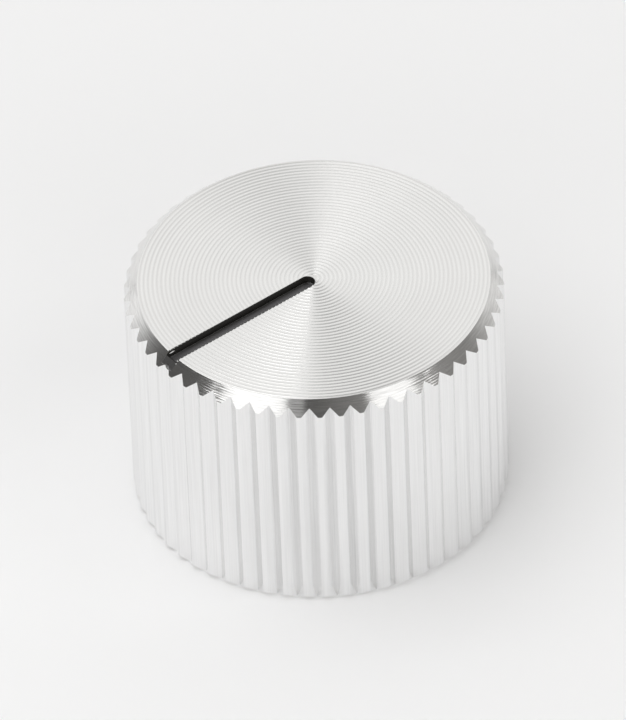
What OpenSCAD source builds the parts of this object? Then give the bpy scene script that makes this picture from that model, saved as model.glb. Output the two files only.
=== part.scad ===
// Knurled aluminium knob with a milled, black-filled pointer slot, for a plain round shaft.
// The body is turned from straight-knurled bar. A grub screw in its wall clamps it to the shaft.
// The underside lies on z = 0, the shaft's axis is +Z, and the pointer runs out towards -Y.

/* [Knob] */
// Diameter over the crests of the knurl
knob_d = 25; // [22:0.5:50]
// Height from the underside to the top face
knob_h = 17.4; // [16:0.1:40]
// Chamfer round the top face, at 45 degrees
top_chamfer = 0.9; // [0.3:0.1:3]
// Chamfer round the underside, at 45 degrees
base_chamfer = 0.4; // [0.1:0.05:1]

/* [Knurl] */
// Number of straight V grooves round the knob
grooves = 57; // [24:1:96]
// Depth of a groove below the crests
groove_depth = 0.45; // [0.1:0.05:0.9]
// Width of the flat crest between two grooves
crest_w = 0.27; // [0.05:0.01:0.4]
// Turn of the knurl away from a groove centred on the pointer, in degrees
knurl_turn = 0; // [-3:0.1:3]

/* [Face] */
// Feed of the facing tool, which is the pitch of the rings it leaves
ring_pitch = 0.29; // [0.2:0.01:1]
// Depth of the rings
ring_depth = 0.03; // [0.01:0.005:0.08]

/* [Pointer] */
// Width of the pointer slot, cut with one pass of an end mill
pointer_w = 1.05; // [0.5:0.05:3]
// Depth of the pointer slot
pointer_depth = 0.65; // [0.2:0.05:1.5]
// Distance from the axis to the slot's round inner end
pointer_start = 0; // [0:0.5:8]
// Thickness of the black enamel on the slot's floor
paint_t = 0.1; // [0.05:0.05:0.15]

/* [Shaft bore] */
// Diameter of the shaft
shaft_d = 6; // [3:0.1:8]
// Clearance of the bore over the shaft, on the diameter
shaft_clearance = 0.05; // [0.02:0.01:0.15]
// Depth of the bore's round wall, from the underside
bore_depth = 12.5; // [10:0.5:13]
// Included angle of the drill point that ends the bore
drill_angle = 118; // [90:2:140]
// Lead-in chamfer at the bore's mouth
bore_chamfer = 0.4; // [0.1:0.1:1]

/* [Nut recess] */
// Diameter of the recess that clears the control's nut and washer
recess_d = 15; // [12:0.5:18]
// Depth of the recess
recess_depth = 2.2; // [1:0.1:3]

/* [Set screw] */
// Thread diameter of the set screw
screw_d = 3; // [2:0.5:4]
// Length of the set screw
screw_len = 6; // [3:0.5:7]
// Height of the screw's axis above the underside
screw_z = 7; // [6:0.5:9]
// Gap between the backed-off screw's tip and the bore's wall
screw_back = 0.25; // [0.1:0.05:1]
// Clearance of the tapped hole over the thread's crests, on the diameter
screw_clearance = 0.05; // [0.02:0.01:0.1]
// Hexagon socket's width across its flats
socket_af = 1.5; // [0.7:0.1:1.5]
// Depth of the hexagon socket
socket_depth = 1.6; // [0.8:0.1:2]
// Countersink where the screw hole breaks out through the knurl
screw_sink = 0.3; // [0.1:0.1:0.6]

/* [Hidden] */
$fn = 96;

knob_r = knob_d / 2;
face_r = knob_r - top_chamfer;
groove_half_angle = (180 * (1 - crest_w * grooves / (PI * knob_d))) / grooves;
groove_root = [0, -(knob_r - groove_depth)];
groove_lip = knob_r * [sin(groove_half_angle), -cos(groove_half_angle)];
// The facing tool starts at the rim and stops short of the axis, where it leaves a small flat pip.
ring_count = floor(face_r / ring_pitch - 0.5);
rim_points = [[0, 0], [knob_r - base_chamfer, 0], [knob_r, base_chamfer],
    [knob_r, knob_h - top_chamfer], [face_r, knob_h]];
floor_z = knob_h - pointer_depth;
bore_d = shaft_d + shaft_clearance;
screw_hole_d = screw_d + screw_clearance;
screw_tip_y = bore_d / 2 + screw_back;
cup_r = screw_d / 4;
screw_edge = screw_d / 12;
// How far a cutter passes the metal that it cuts
over = 1;

// One groove's section: a V with its lips on the crest circle, carried on outwards.
module groove_section() {
    reach = 2 * (groove_lip - groove_root);
    polygon([groove_root, groove_root + reach, groove_root + [-reach.x, reach.y]]);
}

// Section of the knurled bar: true crests on the outer circle, a V groove between each pair.
module knurled_section() {
    difference() {
        circle(d = knob_d);
        for (i = [0 : grooves - 1])
            rotate(knurl_turn + i * 360 / grooves) groove_section();
    }
}

// Half section of the turned blank, before its face is ringed.
module blank_outline() {
    polygon(concat(rim_points, [[0, knob_h]]));
}

// The same half section with the facing tool's rings in the top face.
module turned_outline() {
    ring_points = [for (i = [0 : ring_count - 1])
        each [[face_r - (i + 0.5) * ring_pitch, knob_h - ring_depth],
            [face_r - (i + 1) * ring_pitch, knob_h]]];
    polygon(concat(rim_points, ring_points, [[0, knob_h]]));
}

// Plan of the pointer slot: a round end by the axis, and open past the rim.
module pointer_plan() {
    end_y = pointer_start + pointer_w / 2;
    translate([0, -end_y]) circle(d = pointer_w);
    translate([-pointer_w / 2, -knob_r - over]) square([pointer_w, knob_r + over - end_y]);
}

// The shaft's bore with its drill point and lead-in, and the wider recess below it.
module bore_cut() {
    drill_point = bore_d / 2 / tan(drill_angle / 2);
    rotate_extrude() polygon([
        [0, -over], [recess_d / 2, -over], [recess_d / 2, recess_depth],
        [bore_d / 2 + bore_chamfer, recess_depth], [bore_d / 2, recess_depth + bore_chamfer],
        [bore_d / 2, bore_depth], [0, bore_depth + drill_point]]);
}

// The radial screw hole, from the bore out through the knurl opposite the pointer.
module screw_cut() {
    translate([0, 0, screw_z]) rotate([-90, 0, 0]) {
        cylinder(d = screw_hole_d, h = knob_r + over);
        translate([0, 0, knob_r - groove_depth - screw_sink])
            cylinder(d1 = screw_hole_d, d2 = screw_hole_d + 2 * (screw_sink + groove_depth + over),
                h = screw_sink + groove_depth + over);
    }
}

module knob_body() {
    color([0.80, 0.81, 0.82]) difference() {
        intersection() {
            translate([0, 0, -over]) linear_extrude(knob_h + 2 * over) knurled_section();
            rotate_extrude() turned_outline();
        }
        translate([0, 0, floor_z]) linear_extrude(pointer_depth + over) pointer_plan();
        bore_cut();
        screw_cut();
    }
}

// Enamel wiped into the slot: a thin layer on its floor that ends flush with the chamfer.
module pointer_paint() {
    color([0.05, 0.05, 0.05]) intersection() {
        translate([0, 0, floor_z]) linear_extrude(paint_t) intersection() {
            pointer_plan();
            knurled_section();
        }
        rotate_extrude() blank_outline();
    }
}

// Cup-point grub screw, its socket facing out, backed off clear of the shaft.
module set_screw() {
    color([0.25, 0.25, 0.27]) translate([0, screw_tip_y, screw_z]) rotate([-90, 0, 0]) difference() {
        rotate_extrude() polygon([
            [0, cup_r / 2], [cup_r, 0], [screw_d / 2, screw_d / 2 - cup_r],
            [screw_d / 2, screw_len - screw_edge], [screw_d / 2 - screw_edge, screw_len],
            [0, screw_len]]);
        translate([0, 0, screw_len - socket_depth])
            cylinder(d = socket_af / cos(30), h = socket_depth + over, $fn = 6);
    }
}

knob_body();
pointer_paint();
set_screw();
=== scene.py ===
# A solid turned aluminium control knob: straight-knurled side, ringed face with a black pointer line,
# and a set screw opposite the pointer. Metres, +Z up along the shaft, the pointer runs out along -Y.
import math
import random

import bmesh
import bpy
from mathutils import Matrix, Vector


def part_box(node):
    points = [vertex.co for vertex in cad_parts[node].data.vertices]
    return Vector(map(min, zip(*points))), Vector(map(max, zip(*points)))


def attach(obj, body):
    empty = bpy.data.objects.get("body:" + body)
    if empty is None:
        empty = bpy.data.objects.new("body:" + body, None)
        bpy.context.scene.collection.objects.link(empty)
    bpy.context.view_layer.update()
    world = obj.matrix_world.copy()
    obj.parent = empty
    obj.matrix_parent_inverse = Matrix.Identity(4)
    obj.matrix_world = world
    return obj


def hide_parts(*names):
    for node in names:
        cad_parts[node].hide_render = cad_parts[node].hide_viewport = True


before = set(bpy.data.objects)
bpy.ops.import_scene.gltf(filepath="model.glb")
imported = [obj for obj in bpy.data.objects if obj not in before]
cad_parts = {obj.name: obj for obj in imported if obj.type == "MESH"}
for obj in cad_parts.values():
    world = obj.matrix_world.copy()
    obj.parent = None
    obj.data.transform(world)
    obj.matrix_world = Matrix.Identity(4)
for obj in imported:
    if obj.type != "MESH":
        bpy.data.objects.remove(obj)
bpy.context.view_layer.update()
mm = 0.001


# ---- Knob body ---------------------------------------------------------------------------------
# One piece of straight-knurled aluminium bar. The lathe faces and chamfers it, a mill cuts the
# pointer slot, and the underside is counterbored, drilled for the shaft and tapped from the side.
body_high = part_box("knob_body")[1]
crest_r = body_high.x
top_z = body_high.z
top_chamfer = 0.9 * mm
base_chamfer = 0.4 * mm
face_r = crest_r - top_chamfer
base_r = crest_r - base_chamfer

# Each crest of the knurl is a narrow flat, slightly rounded at both edges.
groove_count = 57
groove_depth = 0.45 * mm
crest_w = 0.27 * mm
crest_rounding = 0.03 * mm
crest_flat = 0.8
root_r = crest_r - groove_depth
crest_half = crest_w / 2 / crest_r
half_pitch = math.pi / groove_count
groove_half = half_pitch - crest_half

# The faced top is a row of shallow scallops, each steeper on the side that looks outwards. The
# outermost one starts half a turn in.
ring_pitch = 0.29 * mm
ring_depth = 0.019 * mm
ring_valley = 0.62
ring_steps = 6
ring_start = 0.5
ring_count = int(face_r / ring_pitch - 0.5)

# The chamfer's fine lines are counted over its inner half, inside the roots of the knurl.
chamfer_lines = 4
line_steps = 4
line_pitch = (root_r - face_r) / chamfer_lines
line_depth = 0.002 * mm
tooth_steps = 4
columns = groove_count * tooth_steps

slot_w = 1.05 * mm
slot_depth = 0.65 * mm
slot_floor = top_z - slot_depth
# The mill left three small burrs at the slot's mouth: length, thickness and place of each.
burrs = ((0.48 * mm, 0.075 * mm, (-slot_w / 2 + 0.01 * mm, -face_r + 0.24 * mm, top_z - 0.22 * mm)),
         (0.11 * mm, 0.03 * mm, (slot_w / 2, -face_r - 0.09 * mm, top_z - 0.09 * mm)),
         (0.09 * mm, 0.022 * mm, (slot_w / 2, -face_r - 0.24 * mm, top_z - 0.24 * mm)))

bore_r = 3.025 * mm
bore_depth = 12.5 * mm
bore_lead = 0.4 * mm
drill_angle = 118
drill_point = bore_r / math.tan(math.radians(drill_angle / 2))
recess_r = 7.5 * mm
recess_depth = 2.2 * mm

screw_z = 7 * mm
thread_pitch = 0.5 * mm
thread_r = 1.5 * mm
tap_root_r = 1.23 * mm
tap_crest_r = 1.52 * mm
hole_sink = 0.3 * mm
sink_start_r = 1.2 * mm
# The threads are cut as one long rod, from inside the bore to outside the knurl.
thread_start = 2 * mm
thread_length = 11 * mm
# How far a cutter passes the metal that it cuts.
past = 1 * mm


def flank_angle(radius):
    """Angle between a groove's middle and the place where its flank reaches this radius."""
    slope = math.atan2(crest_r * math.sin(groove_half), crest_r * math.cos(groove_half) - root_r)
    return slope - math.asin(root_r * math.sin(slope) / radius)


def tooth_side():
    """One side of a tooth from its root to its slightly rounded crest: radius and half angle."""
    flank_top = crest_r - crest_rounding
    step = line_pitch / line_steps
    rows = []
    for i in range(int((flank_top - root_r) / step) + 1):
        radius = root_r + i * step
        rows.append((radius, half_pitch - flank_angle(radius)))
    start = (flank_top, half_pitch - flank_angle(flank_top))
    corner, end = (crest_r, crest_half), (crest_r, crest_half * crest_flat)
    for t in (0, 0.25, 0.5, 0.75, 1):
        rows.append(tuple((1 - t) ** 2 * a + 2 * t * (1 - t) * b + t ** 2 * c
                          for a, b, c in zip(start, corner, end)))
    return rows


def chamfer_z(radius):
    """Height of the chamfer, with the fine lines that the tool leaves on it."""
    line = math.sin(2 * math.pi * (radius - face_r) / line_pitch)
    return top_z - (radius - face_r) - line_depth * (1 - line) / 2


def ring_rows():
    """Radius and height of the faced top from the rim inwards, one scallop for each turn."""
    rows = []
    for i in range(ring_count * ring_steps):
        u = (i / ring_steps + ring_start) % 1
        side = (u - ring_valley) / (1 - ring_valley if u > ring_valley else ring_valley)
        rows.append((face_r - i * ring_pitch / ring_steps, top_z - ring_depth * (1 - side ** 2)))
    rows.append((face_r - ring_count * ring_pitch, top_z))
    return rows


def around(radius, angle, z):
    """A point at this angle from the pointer's direction."""
    return (radius * math.sin(angle), -radius * math.cos(angle), z)


def object_from(name, points, faces):
    """A new object with a clean closed mesh."""
    mesh = bpy.data.meshes.new(name)
    mesh.from_pydata(points, [], faces)
    work = bmesh.new()
    work.from_mesh(mesh)
    bmesh.ops.remove_doubles(work, verts=work.verts, dist=1e-8)
    bmesh.ops.recalc_face_normals(work, faces=work.faces)
    if work.calc_volume(signed=True) < 0:
        bmesh.ops.reverse_faces(work, faces=work.faces)
    work.to_mesh(mesh)
    work.free()
    made = bpy.data.objects.new(name, mesh)
    bpy.context.scene.collection.objects.link(made)
    return made


def band(faces, inner, outer):
    """Quads between two closed rows of as many points."""
    for i in range(len(inner)):
        j = (i + 1) % len(inner)
        faces.append((inner[i], outer[i], outer[j], inner[j]))


def turned(name, outline, steps):
    """A solid of revolution about +Z. The outline runs from the axis, out, and back to the axis."""
    points = [(0, 0, outline[0][1])]
    rows = []
    for radius, z in outline[1:-1]:
        rows.append([len(points) + i for i in range(steps)])
        points += [around(radius, 2 * math.pi * i / steps, z) for i in range(steps)]
    points.append((0, 0, outline[-1][1]))
    faces = []
    for lower, upper in zip(rows, rows[1:]):
        band(faces, lower, upper)
    for i in range(steps):
        j = (i + 1) % steps
        faces.append((0, rows[0][i], rows[0][j]))
        faces.append((len(points) - 1, rows[-1][j], rows[-1][i]))
    return object_from(name, points, faces)


def bead(length, thickness, place):
    """A small rounded bead lying along the slot."""
    bends = 10
    outline = [(thickness * math.sin(math.pi * i / bends), -length / 2 * math.cos(math.pi * i / bends))
               for i in range(bends + 1)]
    piece = turned("bead", outline, 2 * bends)
    piece.data.transform(Matrix.Translation(place) @ Matrix.Rotation(math.pi / 2, 4, "X"))
    return piece


def knurled_blank(name, face_rows):
    """The knurled bar, faced, chamfered and cut off, before it is milled and drilled."""
    points, faces = [], []

    def add_row(radius, z):
        points.extend(around(radius, 2 * math.pi * i / columns, z) for i in range(columns))
        return list(range(len(points) - columns, len(points)))

    rows = [add_row(radius, z) for radius, z in reversed(face_rows)]
    for i in range(1, chamfer_lines * line_steps + 1):
        radius = face_r + i * line_pitch / line_steps
        rows.append(add_row(radius, chamfer_z(radius)))
    faces.append(rows[0])
    for inner, outer in zip(rows, rows[1:]):
        band(faces, inner, outer)

    rim = []
    for tooth in range(groove_count):
        start = tooth * tooth_steps
        row = [rows[-1][(start + k) % columns] for k in range(tooth_steps + 1)]
        left, right = [row[0]], [row[-1]]
        for radius, half in tooth_side()[1:]:
            wider, row = row, list(range(len(points), len(points) + tooth_steps + 1))
            for k in range(tooth_steps + 1):
                angle = half_pitch * (2 * tooth + 1) + half * (2 * k / tooth_steps - 1)
                points.append(around(radius, angle, chamfer_z(radius)))
            faces += [(wider[k], row[k], row[k + 1], wider[k + 1]) for k in range(tooth_steps)]
            left.append(row[0])
            right.append(row[-1])
        rim += left + row[1:-1] + right[:0:-1]

    above_chamfer, base = [], []
    for x, y, z in [points[i] for i in rim]:
        radius = math.hypot(x, y)
        above_chamfer.append(len(points))
        base.append(len(points) + 1)
        shrink = min(1, base_r / radius)
        points += [(x, y, max(0, radius - base_r)), (x * shrink, y * shrink, 0)]
    band(faces, rim, above_chamfer)
    band(faces, above_chamfer, base)
    faces.append(base)
    return object_from(name, points, faces)


def slot_tool(name, levels, step=None, ragged=0):
    """A solid with the slot's plan: a round end by the axis, and straight sides. Each level is a half
    width, a height and how far it reaches. With a step, its sides wander outwards: the first one by up
    to the ragged amount towards the rim, the other by less than a sixth of it."""
    wander = random.Random(5)
    end_steps = 24
    count = round(crest_r / step) if step else 1
    away = [1 - i / count for i in range(count)]
    plan = [(-1, 0, t, wander.uniform(0.4, 1) * ragged * t ** 3) for t in away]
    end_angles = [math.pi * i / end_steps for i in range(end_steps + 1)]
    plan += [(-math.cos(a), math.sin(a), 0, 0) for a in end_angles]
    plan += [(1, 0, t, wander.uniform(0, 0.15) * ragged) for t in reversed(away)]
    points = [(x * (half + extra), y * (half + extra) - slot_w / 2 - t * (reach - slot_w / 2), z)
              for half, z, reach in levels for x, y, t, extra in plan]
    rows = [[k * len(plan) + i for i in range(len(plan))] for k in range(len(levels))]
    faces = [rows[0], rows[-1]]
    for lower, upper in zip(rows, rows[1:]):
        band(faces, lower, upper)
    return object_from(name, points, faces)


def threaded_rod(name, root, crest, length):
    """A rod along +Z with a 60 degree thread, cut off square at both ends. A turn's outline is given
    by its corners, in pitches along the rod: the crest is an eighth of a pitch wide."""
    flank = (crest - root) * math.tan(math.radians(30)) / thread_pitch
    left, right = 0.5 - 1 / 16, 0.5 + 1 / 16
    corners = ((0, root), (left - flank, root), (left, crest),
               (right, crest), (right + flank, root), (1, root))
    per_turn = len(corners) - 1
    steps = 32
    turns = math.ceil(length / thread_pitch) + 1
    rows = [turn + corners[k][0] for turn in range(turns) for k in range(per_turn)] + [turns]
    points, faces = [], []
    for i in range(steps):
        for row in rows:
            z = min(max((row + i / steps - 1) * thread_pitch, 0), length)
            u = (z / thread_pitch - i / steps) % 1
            k = max(j for j in range(per_turn) if corners[j][0] <= u)
            (low, at_low), (high, at_high) = corners[k], corners[k + 1]
            radius = at_low + (at_high - at_low) * (u - low) / (high - low)
            points.append(around(radius, 2 * math.pi * i / steps, z))
    count = len(rows)
    for i in range(steps):
        shift = per_turn if i == steps - 1 else 0
        after = (i + 1) % steps * count
        for j in range(count - 1):
            face = (i * count + j, after + min(j + shift, count - 1),
                    after + min(j + 1 + shift, count - 1), i * count + j + 1)
            faces.append(tuple(dict.fromkeys(face)))
    faces.append([i * count for i in range(steps)])
    faces.append([i * count + count - 1 for i in range(steps)])
    return object_from(name, points, faces)


def along_screw(piece, distance):
    """Lays a piece made along +Z on the screw's axis, starting this far out towards +Y."""
    onto_y = Matrix.Rotation(-math.pi / 2, 4, "X")
    piece.data.transform(Matrix.Translation((0, distance, screw_z)) @ onto_y)
    return piece


def cut(piece, tool, operation="DIFFERENCE"):
    """Cuts the piece with the tool and throws the tool away."""
    step = piece.modifiers.new("cut", "BOOLEAN")
    step.object, step.operation, step.solver = tool, operation, "MANIFOLD"
    made = bpy.data.meshes.new_from_object(piece.evaluated_get(bpy.context.evaluated_depsgraph_get()))
    piece.modifiers.clear()
    piece.data = made
    bpy.data.objects.remove(tool)


def crisp(piece, angle):
    """Smooth shading, with sharp edges where the faces turn by more than this angle."""
    work = bmesh.new()
    work.from_mesh(piece.data)
    bmesh.ops.dissolve_degenerate(work, edges=work.edges, dist=1e-8)
    for edge in work.edges:
        edge.smooth = edge.calc_face_angle(math.pi) < math.radians(angle)
    for face in work.faces:
        face.smooth = True
    work.to_mesh(piece.data)
    work.free()


knob = knurled_blank("knob_body_turned", ring_rows())
mill_end = crest_r + past
mill_levels = [(slot_w / 2, slot_floor, mill_end), (slot_w / 2, top_z + past, mill_end)]
cut(knob, slot_tool("slot_mill", mill_levels))
for length, thickness, place in burrs:
    cut(knob, bead(length, thickness, place), "UNION")
bore_outline = [
    (0, -past), (recess_r, -past), (recess_r, recess_depth), (bore_r + bore_lead, recess_depth),
    (bore_r, recess_depth + bore_lead), (bore_r, bore_depth), (0, bore_depth + drill_point)]
cut(knob, turned("bore_cutter", bore_outline, 96))
tap = threaded_rod("tap", tap_root_r, tap_crest_r, thread_length)
cut(knob, along_screw(tap, thread_start))
sink_length = 2 * mm
sink_outline = [(0, 0), (sink_start_r, 0), (sink_start_r + sink_length, sink_length), (0, sink_length)]
sink_start = root_r - hole_sink - (thread_r - sink_start_r)
cut(knob, along_screw(turned("countersink", sink_outline, 64), sink_start))
crisp(knob, 20)


def bare_metal(name, colour, roughness, anisotropy, rotation):
    """Bright aluminium, rough across the tool's lines and smooth along them."""
    metal = bpy.data.materials.new(name)
    metal.use_nodes = True
    shader = metal.node_tree.nodes["Principled BSDF"]
    shader.inputs["Base Color"].default_value = (*colour, 1)
    shader.inputs["Metallic"].default_value = 1
    shader.inputs["Roughness"].default_value = roughness
    shader.inputs["Anisotropic"].default_value = anisotropy
    shader.inputs["Anisotropic Rotation"].default_value = rotation
    tangent = metal.node_tree.nodes.new("ShaderNodeTangent")
    tangent.direction_type, tangent.axis = "RADIAL", "Z"
    metal.node_tree.links.new(tangent.outputs["Tangent"], shader.inputs["Tangent"])
    return metal


def vector_math(material, operation, *inputs):
    """A vector node whose inputs are other outputs or fixed vectors."""
    node = material.node_tree.nodes.new("ShaderNodeVectorMath")
    node.operation = operation
    for socket, value in zip(node.inputs, inputs):
        if isinstance(value, bpy.types.NodeSocket):
            material.node_tree.links.new(value, socket)
        else:
            socket.default_value = value
    return node.outputs["Value" if operation in ("LENGTH", "DOT_PRODUCT") else "Vector"]


def place_on(material):
    """Where a point lies on the piece, in metres."""
    return material.node_tree.nodes.new("ShaderNodeTexCoord").outputs["Object"]


def lumps_place(material, x, y, z):
    """A place for noise whose lumps are about this long along each axis."""
    return vector_math(material, "MULTIPLY", place_on(material), (1 / x, 1 / y, 1 / z))


def turned_place(material, around_scale, line_width):
    """A place for noise that is drawn out along the turning, in lines of about this width."""
    flat = vector_math(material, "MULTIPLY", place_on(material), (1, 1, 0))
    radius = vector_math(material, "LENGTH", flat)
    outward = vector_math(material, "NORMALIZE", flat)
    nodes, links = material.node_tree.nodes, material.node_tree.links
    lines = nodes.new("ShaderNodeMath")
    lines.operation = "MULTIPLY"
    lines.inputs[1].default_value = 1 / line_width
    links.new(radius, lines.inputs[0])
    rise = nodes.new("ShaderNodeCombineXYZ")
    links.new(lines.outputs["Value"], rise.inputs["Z"])
    return vector_math(material, "MULTIPLY_ADD", outward, (around_scale,) * 3, rise.outputs["Vector"])


def noise(material, place, detail=2.0, roughness=0.5):
    """Soft noise from 0 to 1 at this place."""
    node = material.node_tree.nodes.new("ShaderNodeTexNoise")
    node.inputs["Scale"].default_value = 1
    node.inputs["Detail"].default_value = detail
    node.inputs["Roughness"].default_value = roughness
    material.node_tree.links.new(place, node.inputs["Vector"])
    return node.outputs["Fac"]


def spread(material, value, low, high, at_low, at_high):
    """One value's range carried over to another range."""
    node = material.node_tree.nodes.new("ShaderNodeMapRange")
    node.inputs["From Min"].default_value, node.inputs["From Max"].default_value = low, high
    node.inputs["To Min"].default_value, node.inputs["To Max"].default_value = at_low, at_high
    material.node_tree.links.new(value, node.inputs["Value"])
    return node.outputs["Result"]


def mottled(material, value, at_low, at_high):
    """Noise, whose values lie mostly between 0.3 and 0.7, carried over to another range."""
    return spread(material, value, 0.3, 0.7, at_low, at_high)


def dull_and_shade(material, *factors):
    """Darkens the metal's colour by each of these factors, for its own tone and for painted shade."""
    shader = material.node_tree.nodes["Principled BSDF"]
    colour = tuple(shader.inputs["Base Color"].default_value)[:3]
    for factor in factors:
        colour = vector_math(material, "MULTIPLY", colour, factor)
    material.node_tree.links.new(colour, shader.inputs["Base Color"])


def relief(material, height, depth):
    """Fine relief, this deep in metres where the height runs from 0 to 1."""
    bump = material.node_tree.nodes.new("ShaderNodeBump")
    bump.inputs["Strength"].default_value = 1
    bump.inputs["Distance"].default_value = depth
    material.node_tree.links.new(height, bump.inputs["Height"])
    shader = material.node_tree.nodes["Principled BSDF"]
    material.node_tree.links.new(bump.outputs["Normal"], shader.inputs["Normal"])


# The faced top: rings with painted shade along each ring's hollow, and that differ from
# turn to turn, with a faint handling bloom. The wave node's own rings are a tenth of pi apart.
faced = bare_metal("faced_top", (0.89, 0.887, 0.873), 0.2, 0.85, 0.25)
ring_shade_turn = 1.47
wave_length = math.pi / 10
ring_hollow_shade = faced.node_tree.nodes.new("ShaderNodeTexWave")
ring_hollow_shade.wave_type, ring_hollow_shade.rings_direction = "RINGS", "Z"
ring_hollow_shade.inputs["Scale"].default_value = wave_length / ring_pitch
ring_hollow_shade.inputs["Phase Offset"].default_value = 2 * math.pi * (ring_shade_turn - face_r / ring_pitch)
faced.node_tree.links.new(place_on(faced), ring_hollow_shade.inputs["Vector"])
turns = noise(faced, turned_place(faced, 1.5, 0.14 * mm))
bloom = noise(faced, lumps_place(faced, 5 * mm, 5 * mm, 5 * mm))
# The first factor is painted shade in the hollow of each ring.
dull_and_shade(faced, spread(faced, ring_hollow_shade.outputs["Fac"], 0, 1, 0.88, 1.0), mottled(faced, turns, 0.965, 1.0),
     spread(faced, bloom, 0.35, 0.65, 0.98, 1.0))
relief(faced, turns, 0.0015 * mm)

# The chamfer: one clean pass of the tool, with hair lines that run out as they go round.
chamfer = bare_metal("turned_chamfer", (0.86, 0.857, 0.846), 0.11, 0.5, 0.25)
hair_lines = noise(chamfer, turned_place(chamfer, 9, 0.08 * mm), 3)
dull_and_shade(chamfer, mottled(chamfer, hair_lines, 0.82, 1.0))
relief(chamfer, hair_lines, 0.004 * mm)

# The knurled side: drawn bar with fine streaks along it, and painted shade where it is seen at a glancing
# angle.
side = bare_metal("knurled_side", (0.935, 0.935, 0.935), 0.13, 0.5, 0.0)
streaks = noise(side, lumps_place(side, 0.07 * mm, 0.07 * mm, 7 * mm), 3, 0.6)
glancing_shade = side.node_tree.nodes.new("ShaderNodeLayerWeight").outputs["Facing"]
dull_and_shade(side, spread(side, glancing_shade, 0.42, 0.60, 1.0, 0.91), mottled(side, streaks, 0.9, 1.0))
relief(side, streaks, 0.003 * mm)

# Everywhere else the metal shows the drill's, the mill's and the tap's plain cuts.
bored = bare_metal("bored_metal", (0.86, 0.86, 0.85), 0.34, 0.6, 0.25)
tool_marks = noise(bored, turned_place(bored, 2, 0.12 * mm))
dull_and_shade(bored, mottled(bored, tool_marks, 0.9, 1.0))
relief(bored, tool_marks, 0.003 * mm)

finishes = [faced, chamfer, side, bored]


def finish_of(face):
    """The finish that a face of the knob has, by where it lies and how far it tips."""
    hair = 0.01 * mm
    radius = math.hypot(face.center.x, face.center.y)
    depth, level = top_z - face.center.z, face.normal.z
    by_an_edge = depth < 1 * mm or depth > top_z - 1 * mm
    in_slot = abs(face.center.x) < slot_w / 2 + hair and face.center.y < 0 and depth < slot_depth + 5 * hair
    if level > 0.85 and depth < ring_depth * 1.1 and radius < face_r + hair:
        return faced
    if 0.5 < abs(level) < 0.9 and radius > face_r - hair and by_an_edge:
        return chamfer
    if abs(level) < 0.1 and radius > root_r - hair and not in_slot:
        return side
    return bored


knob.data.materials.clear()
for finish in finishes:
    knob.data.materials.append(finish)
for face in knob.data.polygons:
    face.material_index = finishes.index(finish_of(face))
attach(knob, "root")
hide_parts("knob_body")


# ---- Pointer enamel ----------------------------------------------------------------------------
# Black enamel wiped into the pointer slot. It coats the walls, pools on the floor, stands up to the
# chamfer at the mouth, has crept a little over the lips, and ran down the groove below the mouth.
wall_coat = 0.035 * mm
pool_z = slot_floor + 0.1 * mm
pool_corner = 0.04 * mm
mouth_step = 0.42 * mm
mouth_slope = 0.9
lip_creep = 0.012 * mm
lip_z = top_z - 0.007 * mm
lip_step = 0.12 * mm
lip_ragged = 0.14 * mm
run_bottom = top_z - 1.07 * mm
run_fill = 0.16 * mm
run_hollow = 0.28
# The enamel reaches this far into the metal before the knob's own shape is cut from it.
buried = 0.03 * mm


def channel_levels():
    """The open channel inside the enamel, from the middle of its floor up round the corners. Its
    outer end slopes up to the rim, where the enamel fills the mouth."""
    clear = slot_w / 2 - wall_coat
    levels = [(0.02 * mm, pool_z)]
    for a in (math.radians(angle) for angle in range(0, 91, 15)):
        levels.append((clear - pool_corner * (1 - math.sin(a)), pool_z + pool_corner * (1 - math.cos(a))))
    levels.append((clear, top_z + past))
    return [(half, z, face_r + mouth_step - mouth_slope * (top_z - z)) for half, z in levels]


def run_down():
    """A drop of enamel that fills the bottom of the groove below the slot's mouth."""
    points, rows, faces = [], [], []
    steps, blunt_end = 10, 0.985
    for i in range(steps + 1):
        t = blunt_end * math.sin(math.pi / 2 * i / steps)
        fill = run_fill * math.sqrt(1 - t * t)
        z = pool_z - 0.01 * mm + (run_bottom - pool_z) * t
        side_angle = flank_angle(root_r + fill) + buried / crest_r
        rows.append([len(points) + k for k in range(7)])
        points.append(around(root_r - buried, 0, z))
        for k in range(-2, 3):
            front = root_r + fill * (1 - run_hollow * (1 - (k / 2) ** 2))
            points.append(around(front, side_angle * k / 2, z))
        points.append(around(root_r - buried, 0.2 * side_angle, z))
    for upper, lower in zip(rows, rows[1:]):
        band(faces, upper, lower)
    faces += [rows[0], rows[-1]]
    return object_from("enamel_run", points, faces)


crept = slot_w / 2 + lip_creep
filled = [(crept, slot_floor - buried, mill_end), (crept, lip_z, mill_end)]
enamel = slot_tool("pointer_enamel", filled, lip_step, lip_ragged)
cut(enamel, slot_tool("enamel_channel", channel_levels()))
# It is wiped off just below the knob's own surface, a little smaller than the blank.
wiped_below = 0.0002
limit = knurled_blank("enamel_limit", [(face_r, top_z), (1 * mm, top_z)])
limit.data.transform(Matrix.Scale(1 - wiped_below, 4))
cut(enamel, limit, "INTERSECT")
cut(enamel, run_down(), "UNION")
knob_shape = bpy.data.objects.new("knob_shape", knob.data.copy())
bpy.context.scene.collection.objects.link(knob_shape)
cut(enamel, knob_shape)
crisp(enamel, 35)

black = bpy.data.materials.new("wiped_enamel")
black.use_nodes = True
enamel_shader = black.node_tree.nodes["Principled BSDF"]
enamel_shader.inputs["IOR"].default_value = 1.62
wiped = noise(black, lumps_place(black, 0.12 * mm, 0.5 * mm, 0.12 * mm), 3)
black.node_tree.links.new(mottled(black, wiped, 0.12, 0.24), enamel_shader.inputs["Roughness"])


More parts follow.
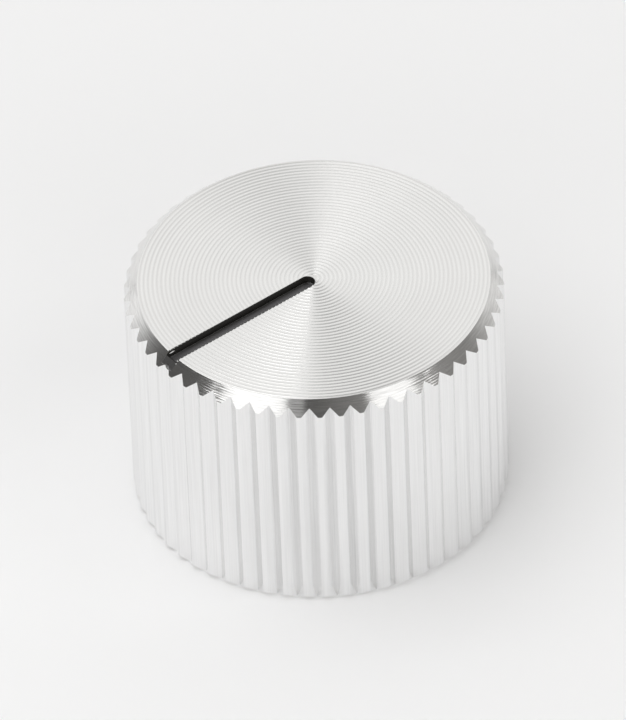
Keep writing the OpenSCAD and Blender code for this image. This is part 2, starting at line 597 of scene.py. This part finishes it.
def blend(material, factor, first, second):
    """A colour between two others."""
    mix = material.node_tree.nodes.new("ShaderNodeMix")
    mix.data_type = "RGBA"
    for socket, value in (("Factor", factor), ("A", first), ("B", second)):
        if isinstance(value, bpy.types.NodeSocket):
            material.node_tree.links.new(value, mix.inputs[socket])
        else:
            mix.inputs[socket].default_value = value
    return mix.outputs["Result"]


# The walls are black. The pool on the floor is greyer, with painted shade darkening it towards the wall
# on the -X side, and at the mouth the metal shows through.
wall_black = (0.0125, 0.0118, 0.0095, 1)
shaded_corner_black = (0.012, 0.0115, 0.0095, 1)
floor_grey = (0.12, 0.117, 0.12, 1)
floor_grey_at_mouth = (0.075, 0.073, 0.074, 1)
film_grey = (0.058, 0.057, 0.056, 1)
place_axes = black.node_tree.nodes.new("ShaderNodeSeparateXYZ")
black.node_tree.links.new(place_on(black), place_axes.inputs["Vector"])
pool = spread(black, place_axes.outputs["Z"], pool_z + 0.01 * mm, pool_z + 0.03 * mm, 1, 0)
outward = vector_math(black, "DOT_PRODUCT", place_on(black), (0, -1, -mouth_slope))
film = face_r + mouth_step - mouth_slope * top_z
mouth = spread(black, outward, film - 0.02 * mm, film - 0.005 * mm, 0, 1)
# Painted shade: the pool goes black towards the wall on the -X side.
far_wall_shade = spread(black, place_axes.outputs["X"], -0.47 * mm, -0.15 * mm, 0, 1)
near_mouth = spread(black, place_axes.outputs["Y"], 1.6 * mm - face_r, 0.2 * mm - face_r, 0, 1)
pool_grey = blend(black, near_mouth, blend(black, far_wall_shade, shaded_corner_black, floor_grey), floor_grey_at_mouth)
coated = blend(black, pool, wall_black, pool_grey)
black.node_tree.links.new(blend(black, mouth, coated, film_grey), enamel_shader.inputs["Base Color"])
relief(black, wiped, 0.002 * mm)
enamel.data.materials.clear()
enamel.data.materials.append(black)
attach(enamel, "root")
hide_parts("pointer_paint")


# ---- Set screw ---------------------------------------------------------------------------------
# An M3 cup-point grub screw of black-oxide steel, in the tapped hole opposite the pointer. A hexagon
# key turns it in against the shaft. It stands backed off, just clear of the bore.
screw_tip = 3.275 * mm
screw_length = 6 * mm
cup_r = thread_r / 2
end_chamfer = 0.25 * mm
screw_root_r = 1.193 * mm
key_w = 1.5 * mm
socket_r = key_w / 2 / math.cos(math.radians(30))
socket_depth = 1.6 * mm
socket_point = 0.4 * mm

screw = along_screw(threaded_rod("grub_screw", screw_root_r, thread_r, thread_length), thread_start)
clear_r = thread_r * 1.05
screw_outline = [
    (0, cup_r / 2), (cup_r, 0), (clear_r, clear_r - cup_r), (clear_r, screw_length - end_chamfer),
    (thread_r - end_chamfer, screw_length), (0, screw_length)]
cut(screw, along_screw(turned("screw_form", screw_outline, 64), screw_tip), "INTERSECT")
socket_start = screw_tip + screw_length - socket_depth
socket_end = socket_depth + past
socket_outline = [(0, -socket_point), (socket_r, 0), (socket_r, socket_end), (0, socket_end)]
cut(screw, along_screw(turned("socket_broach", socket_outline, 6), socket_start))
crisp(screw, 25)

oxide = bpy.data.materials.new("black_oxide_steel")
oxide.use_nodes = True
oxide_shader = oxide.node_tree.nodes["Principled BSDF"]
oxide_shader.inputs["Base Color"].default_value = (0.15, 0.15, 0.157, 1)
oxide_shader.inputs["Metallic"].default_value = 1
mottle = noise(oxide, lumps_place(oxide, 0.3 * mm, 0.3 * mm, 0.3 * mm), 4)
dull_and_shade(oxide, mottled(oxide, mottle, 0.75, 1.0))
oxide.node_tree.links.new(mottled(oxide, mottle, 0.48, 0.34), oxide_shader.inputs["Roughness"])
relief(oxide, mottle, 0.004 * mm)
screw.data.materials.clear()
screw.data.materials.append(oxide)
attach(screw, "root")
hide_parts("set_screw")


# ---- Floor -------------------------------------------------------------------------------------
# The knob stands on a wide sheet of plain white paper, laid flat on the bench. It is stage, and no
# part of the object.
reach = 3.0
floor_mesh = bpy.data.meshes.new("floor")
floor_corners = [(-reach, -reach, 0), (reach, -reach, 0), (reach, reach, 0), (-reach, reach, 0)]
floor_mesh.from_pydata(floor_corners, [], [(0, 1, 2, 3)])
floor = bpy.data.objects.new("floor", floor_mesh)
bpy.context.scene.collection.objects.link(floor)
paper = bpy.data.materials.new("paper")
paper.use_nodes = True
paper_shader = paper.node_tree.nodes["Principled BSDF"]
paper_shader.inputs["Base Color"].default_value = (0.93, 0.93, 0.93, 1)
paper_shader.inputs["Roughness"].default_value = 0.9
floor_mesh.materials.append(paper)


# ---- Camera ------------------------------------------------------------------------------------
# A very long lens on a stand looks down at the knob from the pointer's right, slightly canted. Its
# azimuth is counted from the pointer's direction towards +X.
camera_azimuth = math.radians(53.471)
camera_elevation = math.radians(42.782)
camera_roll = math.radians(-2.344)
camera_distance = 0.83627
camera_aim = (-1.177 * mm, 0.553 * mm, 8.9 * mm)

back = Vector((math.sin(camera_azimuth) * math.cos(camera_elevation),
               -math.cos(camera_azimuth) * math.cos(camera_elevation), math.sin(camera_elevation)))
camera = bpy.data.objects.new("camera", bpy.data.cameras.new("camera"))
camera.data.lens = 631.92
camera.data.sensor_width = 36
camera.location = Vector(camera_aim) + camera_distance * back
turn = (-back).to_track_quat("-Z", "Y").to_matrix().to_4x4() @ Matrix.Rotation(camera_roll, 4, "Z")
camera.rotation_euler = turn.to_euler()
bpy.context.scene.collection.objects.link(camera)
bpy.context.scene.camera = camera


# ---- Light -------------------------------------------------------------------------------------
# Six soft boxes hang level over the bench, with gaps that the bright metal mirrors as its darker
# sectors. Round them stand a pale backdrop, a reflector below the camera, and a dim room.
softbox_height = 0.8


def softbox(name, left, right, near, far, strength):
    """A level soft box: its edges in metres, seen from the camera's side, and its radiance."""
    lamp = bpy.data.lights.new(name, "AREA")
    lamp.shape = "RECTANGLE"
    lamp.size, lamp.size_y = right - left, far - near
    lamp.energy = strength * lamp.size * lamp.size_y * math.pi
    box = bpy.data.objects.new(name, lamp)
    box.matrix_world = (Matrix.Rotation(camera_azimuth, 4, "Z")
                        @ Matrix.Translation(((left + right) / 2, (near + far) / 2, softbox_height)))
    bpy.context.scene.collection.objects.link(box)


softbox("overhead_softbox", left=-0.93, right=-0.03, near=0.00, far=0.30, strength=1.59)
softbox("top_softbox", left=-0.93, right=-0.03, near=-0.42, far=0.00, strength=2.06)
softbox("left_softbox", left=-0.87, right=-0.27, near=-0.80, far=-0.42, strength=1.26)
softbox("left_spill", left=-0.27, right=-0.12, near=-0.80, far=-0.42, strength=0.32)
softbox("right_softbox", left=0.43, right=0.89, near=-0.80, far=-0.35, strength=0.98)
softbox("right_top_softbox", left=0.41, right=1.00, near=-0.35, far=0.00, strength=1.70)

# Directions in the world are counted with X to the camera's right, Y away from it and Z up.
world = bpy.data.worlds.new("studio")
bpy.context.scene.world = world
world.use_nodes = True
world_nodes = world.node_tree.nodes
world_links = world.node_tree.links
coord = world_nodes.new("ShaderNodeTexCoord")
turned_axes = world_nodes.new("ShaderNodeMapping")
turned_axes.inputs["Rotation"].default_value = (0, 0, -camera_azimuth)
world_links.new(coord.outputs["Generated"], turned_axes.inputs["Vector"])
axes = world_nodes.new("ShaderNodeSeparateXYZ")
world_links.new(turned_axes.outputs["Vector"], axes.inputs["Vector"])


def ramp(axis, low, high, at_low, at_high):
    """A smooth step along one axis, from one value below its range to another above it."""
    node = world_nodes.new("ShaderNodeMapRange")
    node.interpolation_type = "SMOOTHSTEP"
    for name, number in (("From Min", low), ("From Max", high), ("To Min", at_low), ("To Max", at_high)):
        node.inputs[name].default_value = number
    world_links.new(axes.outputs[axis], node.inputs["Value"])
    return node.outputs["Result"]


def combine(operation, first, *others):
    """One value from several, by the same operation."""
    for other in others:
        node = world_nodes.new("ShaderNodeMath")
        node.operation = operation
        world_links.new(first, node.inputs[0])
        world_links.new(other, node.inputs[1])
        first = node.outputs["Value"]
    return first


def glow(strength, colour):
    """Light from all round, as strong in each direction as the strength says there."""
    background = world_nodes.new("ShaderNodeBackground")
    background.inputs["Color"].default_value = (*colour, 1)
    world_links.new(strength, background.inputs["Strength"])
    return background.outputs["Background"]


# The backdrop curves up behind the bench from its foot, past its knee, to its brow. It is lit from the
# left, so that it falls off to the right of its middle line, most of all above the brow.
foot, knee, brow = (0.12, 0.34), (0.45, 0.62), (0.81, 0.90)
middle_line = (-0.08, 0.08)
behind = combine("MULTIPLY", ramp("Y", 0.10, 0.42, 0, 1), ramp("X", -0.95, -0.60, 0.15, 1),
                 ramp("X", 0.42, 0.78, 1, 0.30))
backdrop_top = combine("MULTIPLY", behind, ramp("Z", *brow, 0, 1), ramp("X", *middle_line, 0.93, 0.34))
backdrop_middle = combine("MULTIPLY", behind, ramp("Z", *knee, 0, 1), ramp("Z", *brow, 1, 0),
                          ramp("X", *middle_line, 0.87, 0.79))
backdrop_foot = combine("MULTIPLY", behind, ramp("Z", *knee, 0.70, 0), ramp("Z", *foot, 0, 1))
reflector = combine("MULTIPLY", ramp("Y", -0.75, -0.40, 1.8, 0), ramp("Z", 0.04, 0.12, 0, 1),
                    ramp("Z", 0.48, 0.62, 1, 0))
horizon = combine("MULTIPLY", ramp("Z", *foot, 1, 0), ramp("Y", -0.3, 0.3, 0.5, 1),
                  ramp("X", -0.3, 0.3, 0.85, 0.53))
pale_light = combine("ADD", backdrop_top, backdrop_middle, backdrop_foot, reflector, horizon)
room_light = ramp("X", -0.2, 0.6, 0.10, 0.265)
both = world_nodes.new("ShaderNodeAddShader")
world_links.new(glow(pale_light, (1, 1, 1)), both.inputs[0])
world_links.new(glow(room_light, (1, 0.98, 0.955)), both.inputs[1])
world_links.new(both.outputs["Shader"], world_nodes["World Output"].inputs["Surface"])

bpy.context.scene.view_settings.view_transform = "Standard"
